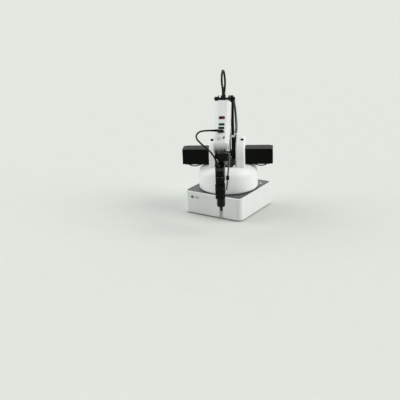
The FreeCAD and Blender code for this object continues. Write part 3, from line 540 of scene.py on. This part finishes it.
def twist(phase, reach, pitch):
    """A slow turn about the cable, one turn every pitch metres, at a distance of reach."""
    return lambda along: (phase + 2 * math.pi * along / pitch, reach)


def rising_twist(phase, reach, pitch):
    """The same turn for a wire that comes out through the sleeve over its first 25 mm."""
    def offset(along):
        risen = 0.45 + 0.55 * min(1.0, along / 0.025)
        return phase + 2 * math.pi * along / pitch, reach * risen
    return offset


def make_cables():
    cable("arm_harness", HARNESS_ROUTE, 5.6, "sleeve_grey",
          [("wire_green", 0.00105, rising_twist(5.5, 0.0028, 0.5), (0.30, 0.98)),
           ("wire_grey", 0.0009, twist(2.0, 0.0026, 0.28), (0.0, 1.0)),
           ("wire_dark", 0.0010, twist(4.1, 0.0025, 0.30), (0.0, 1.0))])
    cable("elbow_loop", LOOP_ROUTE, 5.0, "cable_black",
          [("boot_front", lambda s: 0.0039 - 0.0013 * s, None, (0, 0.09)),
           ("boot_rear", lambda s: 0.0026 + 0.0013 * s, None, (0.91, 1))])
    cable("servo_lead", LEAD_ROUTE, 4.0, "cable_black",
          [("boot_front", lambda s: 0.0031 - 0.0010 * s, None, (0, 0.07)),
           ("boot_rear", lambda s: 0.0021 + 0.0010 * s, None, (0.93, 1))])
    cable("air_tube", AIR_ROUTE, 3.6, "tube_clear")


# ---- detail pieces --------------------------------------------------------------------
def base_details():
    bm = bmesh.new()
    emblem = BASE @ Matrix.Translation((-55.4, -BASE_HALF, 43.0)) @ FRONT
    ring_mark(bm, 3.6, 2.5, INK, emblem)
    slab(bm, 1.3, 1.3, 0.6, 0, INK, emblem)
    for half, z in ((6.6, 44.2), (5.0, 41.6)):
        place = BASE @ Matrix.Translation((-48.1 + half, -BASE_HALF, z)) @ FRONT
        slab(bm, half, 0.6, 0.5, 0, INK, place)
    piece("base_emblem", bm, "base", "button_grey", material=EXTRA["mark_grey"])

    bm = bmesh.new()
    for x, y, half in ((52.0, 62.0, 3.4), (45.5, 62.0, 1.2)):
        slab(bm, half, 1.0, 0.9, 0, INK, BASE @ Matrix.Translation((x, y, PLATE_TOP)))
    ring_mark(bm, 3.9, 3.1, INK, BASE @ Matrix.Translation((60, 52, PLATE_TOP)))
    piece("base_top_marks", bm, "base", "white_plastic", material=EXTRA["mark_white"])

    bm = bmesh.new()
    button = BASE @ Matrix.Translation((34, 79.5, 17)) @ BACK
    ring_mark(bm, 2.9, 2.2, THIN_INK, button)
    slab(bm, 0.35, 1.5, 0.3, 0, INK, button @ Matrix.Translation((0, 1.9, 0)))
    piece("power_mark", bm, "power_button", "button_grey", material=EXTRA["mark_grey"])

    bm = bmesh.new()
    for x in (-34.0, -14.0, 10.0):
        slab(bm, 1.6, 0.35, 0.3, 0, THIN_INK, BASE @ Matrix.Translation((x, PANEL_Y, 26.4)) @ BACK)
    piece("port_marks", bm, "base", "button_grey", material=EXTRA["mark_grey"])

    bm = bmesh.new()
    for x in (-43.0, 43.0):
        screw(bm, BASE @ Matrix.Translation((x, PANEL_Y, 26.5)) @ BACK, 1.9, 0.9, 4)
    piece("panel_screws", bm, "base", "screw_steel")

    bm = bmesh.new()
    foot = [(6.0, 0.02), (8.0, 0.02), (8.35, 0.5), (9.0, 2.9), (8.2, 2.95), (6.2, 2.95)]
    for sx in (-1, 1):
        for sy in (-1, 1):
            lathe(bm, foot, BASE @ Matrix.Translation((58 * sx, 30 * sy, 0)), 36)
    obj = piece("feet", bm, "base", "foot_rubber")
    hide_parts("rubber_feet")


def turret_details():
    bm = bmesh.new()
    lean = Matrix.Rotation(TOWER_HOLE, 4, "X") @ Matrix.Translation((0, 0, TOWER_SEAT))
    washer = [(2.75, 1.75), (4.1, 1.75), (4.1, 2.25), (3.7, 2.45), (2.75, 2.45)]
    for side in (-1, 1):
        top = ARM @ at(0, TOWER_HOLE_L * side, SHOULDER_Z) @ lean
        screw(bm, top, 2.7, 1.5)
        lathe(bm, washer, top, 28)
    piece("tower_plugs", bm, "turret", "screw_steel", material=EXTRA["seam_black"])

    for side, name, out in ((-1, "left", LEFT), (1, "right", RIGHT)):
        bm = bmesh.new()
        for f in (-14.2, 14.2):
            for z in (-14.2, 14.2):
                screw(bm, ARM @ at(f, 106.9 * side, MOTOR_Z + z) @ out, 2.0, 1.5)
        piece(f"{name}_motor_screws", bm, "turret", "screw_steel", material=EXTRA["dark_screw"])
        bm = bmesh.new()
        end = ARM @ at(0, MOTOR_END * side, MOTOR_Z) @ out @ Matrix.Translation((0, 0, -0.05))
        plate(bm, 10.5, 7.5, 1.2, [(0, -0.2), (0, 0.02), (0.05, 0.05)], end)
        piece(f"{name}_motor_label", bm, "turret", "motor_black", material=EXTRA["label_dark"])
        bm = bmesh.new()
        for l in (58.0, 97.0):
            slab(bm, MOTOR_HALF, MOTOR_HALF, 1.9, -0.35, 0.35, ARM @ at(0, l * side, MOTOR_Z) @ RIGHT)
        piece(f"{name}_motor_bands", bm, "turret", "motor_black", material=EXTRA["seam_black"])


def elbow_details():
    bm = bmesh.new()
    screw(bm, ARM @ at(0, -27.0, ELBOW_Z) @ LEFT, 3.6, 1.8)
    screw(bm, ARM @ at(0, 18.9, ELBOW_Z) @ RIGHT, 3.6, 1.8)
    piece("elbow_bolts", bm, "rear_arm", "pin_black")
    bm = bmesh.new()
    screw(bm, ARM @ at(-38, 8.0, 130) @ RIGHT, 3.2, 1.4)
    piece("crank_bolt", bm, "drive_crank", "pin_black")
    bm = bmesh.new()
    screw(bm, FOREARM @ at(FOREARM_LENGTH, 8.0, 0) @ RIGHT, 3.4, 1.6)
    screw(bm, FOREARM @ at(FOREARM_LENGTH, -20.0, 0) @ LEFT, 3.4, 1.6)
    piece("wrist_bolts", bm, "forearm", "pin_black")


def forearm_details():
    bm = bmesh.new()
    mark = FOREARM @ at(128.5, -0.5, COVER_TOP)
    ring_mark(bm, 3.0, 2.35, THIN_INK, mark, 26)
    slab(bm, 2.0, 1.5, 0.4, 0, THIN_INK, mark @ Matrix.Translation((0, -3.0, 0)))
    piece("unlock_mark", bm, "forearm", "button_grey", material=EXTRA["mark_grey"])

    bm = bmesh.new()
    lathe(bm, [(5.0, -0.4), (5.3, -0.4), (5.75, 0.05), (5.75, 0.22), (5.35, 0.3), (5.05, 0.2)],
          FOREARM @ at(131, -10.5, COVER_TOP), 36)
    piece("button_rim", bm, "forearm", "white_plastic")

    bm = bmesh.new()
    pins = [(u, l) for u in (90.4, 101.1) for l in (-9.7, -6.7, -3.7)]
    pins += [(u, l) for l in (-11.1, -9.1, -4.4, -2.4) for u in (69.2, 71.8)]
    for u, l in pins:
        lathe(bm, [(0.42, 0), (0.42, 4.6), (0.1, 5.0)], FOREARM @ at(u, l, PIN_FOOT), 10)
    piece("socket_pins", bm, "forearm", "socket_metal")

    bm = bmesh.new()
    for u, l, lean in ((24, -17.5, -45), (24, 5.5, 45), (139, -16.6, -45), (139, 4.6, 45)):
        tilt = Matrix.Rotation(math.radians(lean), 4, "Y")
        screw(bm, FOREARM @ at(u, l, 8.55) @ tilt, 0.9, 0.4)
    piece("cover_screws", bm, "forearm", "screw_steel")


def wrist_details():
    bm = bmesh.new()
    for l in (-10.5, -1.5):
        for f in (-34.0, 12.6):
            screw(bm, ARM @ at(TOOL_F + f, l, 138.5), 1.7, 1.3)
    piece("servo_screws", bm, "wrist_bracket", "screw_steel")
    bm = bmesh.new()
    for z in (129.0, 154.0):
        slab(bm, *SERVO_HALF, 1.1, -0.22, 0.22, ARM @ at(SERVO_F, SERVO_L, z))
    piece("servo_seams", bm, "wrist_bracket", "servo_black", material=EXTRA["seam_black"])
    bm = bmesh.new()
    plate(bm, 7.2, 9.0, 0.8, [(0, -0.1), (0, 0.08), (0.05, 0.1)],
          ARM @ at(TOOL_F + 10, SERVO_L, 142.0) @ FRONT)
    piece("servo_label", bm, "wrist_bracket", "servo_black", material=EXTRA["label_dark"])
    bm = bmesh.new()
    bolts = (WRIST_F + 37, WRIST_F + 50)
    for f in bolts:
        screw(bm, ARM @ at(f, 12.5, 180.0) @ RIGHT, 2.0, 1.1)
    for f in bolts:
        for l in (8.6, -8.0):
            screw(bm, ARM @ at(f, l, 188.5), 1.9, 1.0)
    piece("bracket_screws", bm, "wrist_bracket", "screw_steel")


def servo_top():
    """The servo's upper case, in a lighter moulding, and a grey metal elbow for the air line."""
    bm = bmesh.new()
    plate(bm, *SERVO_HALF, 1.1, [(0, -3.4), (0, 3.3), (0.3, 3.5)], ARM @ at(SERVO_F, SERVO_L, 156.4))
    piece("servo_top_case", bm, "wrist_bracket", "servo_black", material=EXTRA["case_grey"])
    bm = bmesh.new()
    plate(bm, 4.2, 3.6, 1.2, [(0.4, -4.6), (0, -4.2), (0, 4.2), (0.4, 4.6)], ARM @ at(163, 6.6, 165.2))
    piece("air_elbow", bm, "wrist_bracket", "bright_metal", material=EXTRA["elbow_grey"])


def loop_glands():
    """The glands that the standing loop's two ends go into."""
    bm = bmesh.new()
    plate(bm, 2.1, 4.4, 1.4, [(0, -2.6), (0, 1.0), (0.4, 1.4)], ARM @ at(-15, -6.9, 281.5))
    piece("loop_gland_rear", bm, "elbow_plate", "plug_black")
    bm = bmesh.new()
    plate(bm, 4.6, 6.0, 1.4, [(0.3, -1.4), (0, -1.1), (0, 1.1), (0.3, 1.4)], FOREARM @ at(13, -5.5, 10.6))
    piece("loop_gland_front", bm, "forearm", "plug_black")


def tool_details():
    bm = bmesh.new()
    for z in (92.5, 115.5):
        slab(bm, 10.72, 9.62, 1.3, -0.25, 0.25, ARM @ at(TOOL_F, TOOL_L - 0.7, z))
    piece("tool_seams", bm, "tool", "holder_dark", material=EXTRA["seam_black"])
    bm = bmesh.new()
    for l in (-14.0, 1.6):
        for z in (97.0, 111.0):
            screw(bm, ARM @ at(TOOL_F + 9.5, l, z) @ FRONT, 1.5, 0.8)
    piece("tool_screws", bm, "tool", "screw_steel", material=EXTRA["dark_screw"])

    axis = ARM @ at(TOOL_F, TOOL_L, 0)
    bm = bmesh.new()
    lathe(bm, [(3.05, 67.6), (7.9, 67.6), (9.0, 68.8), (9.2, 69.4), (9.2, 72.0), (8.8, 72.3), (8.8, 72.9),
               (9.2, 73.2), (9.2, 80.6), (8.7, 81.0), (8.7, 81.6), (9.2, 82.0), (9.2, 87.4), (8.9, 87.95),
               (3.05, 87.95)], axis, 48)
    obj = piece("holder", bm, "tool", "holder_dark")
    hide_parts("suction_holder")
    bm = bmesh.new()
    ribs = 36
    for k in range(ribs):
        turn = Matrix.Rotation(2 * math.pi * k / ribs, 4, "Z")
        slab(bm, 0.22, 0.30, 0.12, -3.4, 3.4, axis @ turn @ Matrix.Translation((9.14, 0, 76.9)))
    piece("holder_knurl", bm, "tool", "holder_dark")

    bm = bmesh.new()
    lathe(bm, [(3.0, 57.0), (4.3, 57.0), (4.6, 56.6), (4.6, 55.3), (4.0, 54.5), (3.9, 53.9), (4.6, 52.6),
               (5.5, 51.4), (5.6, 51.0), (5.2, 50.4), (4.1, 49.0), (3.9, 48.4), (4.3, 47.2), (5.6, 44.3),
               (6.0, 43.0), (6.0, 42.15), (5.8, 42.0), (5.3, 42.0), (4.6, 43.2), (3.2, 46.2), (2.5, 48.4),
               (2.4, 49.6), (3.0, 50.0)], axis, 48)
    cup = piece("cup", bm, "tool", "silicone_clear", sharp=60)
    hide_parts("suction_cup")
    bm = bmesh.new()
    coil = []
    steps, per_turn = 72, 12
    for k in range(steps + 1):
        turn = k / per_turn * 2 * math.pi
        coil.append(axis @ Vector((3.45 * math.cos(turn), 3.45 * math.sin(turn), 58.0 + 9.4 * k / steps)))
    sweep(bm, coil, 0.00038, 8)
    piece("nozzle_spring", bm, "tool", "holder_dark", material=EXTRA["dark_screw"])


def extra_materials():
    """Looks for pieces that differ from the plain look of their slot, with lighter and darker copies of
    the white plastic that paint light and shade.
    """
    return {
        "wire_green": surface("wire_green", (0.36, 0.42, 0.06), 0.38, depth=0.05, vary=0.1),
        "wire_grey": surface("wire_grey", (0.42, 0.43, 0.42), 0.36, depth=0.05),
        "wire_dark": surface("wire_dark", (0.035, 0.036, 0.036), 0.36, depth=0.05),
        "mark_grey": surface("mark_grey", (0.16, 0.165, 0.165), 0.5, depth=0.05),
        "mark_white": surface("mark_white", (0.72, 0.73, 0.72), 0.45, depth=0.05),
        "label_dark": surface("label_dark", (0.0036, 0.0042, 0.0038), 0.30, depth=0.06,
                              Specular_IOR_Level=0.10),
        "seam_black": surface("seam_black", (0.003, 0.003, 0.003), 0.6, depth=0.1,
                              Specular_IOR_Level=0.15),
        "dark_screw": surface("dark_screw", (0.06, 0.06, 0.062), 0.34, Metallic=0.8, scratches=0.2),
        # shell_white_painted_light: the base's white plastic made lighter, painted light that makes the
        # turret's shell and tower covers brighter than the base
        "shell_white_painted_light": surface("shell_white_painted_light", (0.905, 0.915, 0.905), 0.40, grain=1700, depth=0.14,
                               vary=0.015, distance=0.0001, Specular_IOR_Level=0.45,
                               Coat_Weight=0.12, Coat_Roughness=0.26),
        # cover_white_painted_shade: the same white plastic made darker, painted shade on the forearm cover
        "cover_white_painted_shade": surface("cover_white_painted_shade", (0.725, 0.737, 0.728), 0.42, grain=1700, depth=0.16,
                               vary=0.018, distance=0.0001, Specular_IOR_Level=0.40),
        "case_grey": surface("case_grey", (0.034, 0.036, 0.034), 0.45, depth=0.2, Specular_IOR_Level=0.2),
        "elbow_grey": surface("elbow_grey", (0.23, 0.24, 0.23), 0.3, depth=0.05),
    }


def paint_frame():
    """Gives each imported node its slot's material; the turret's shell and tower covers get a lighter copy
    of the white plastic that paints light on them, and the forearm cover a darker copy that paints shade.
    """
    slots = {part["node"]: part["material_slot"] for part in frame["record"]["subparts"]}
    painted_light_looks = {"turret_shell": "shell_white_painted_light", "left_tower_cover": "shell_white_painted_light",
           "right_tower_cover": "shell_white_painted_light", "forearm_cover": "cover_white_painted_shade"}
    for name, obj in frame["nodes"].items():
        obj.data.materials.clear()
        obj.data.materials.append(EXTRA[painted_light_looks[name]] if name in painted_light_looks else MATERIALS[slots[name]])


make_camera()
make_room()
MATERIALS = make_materials()
EXTRA = extra_materials()
paint_frame()
make_cables()
base_details()
turret_details()
elbow_details()
forearm_details()
wrist_details()
servo_top()
loop_glands()
tool_details()
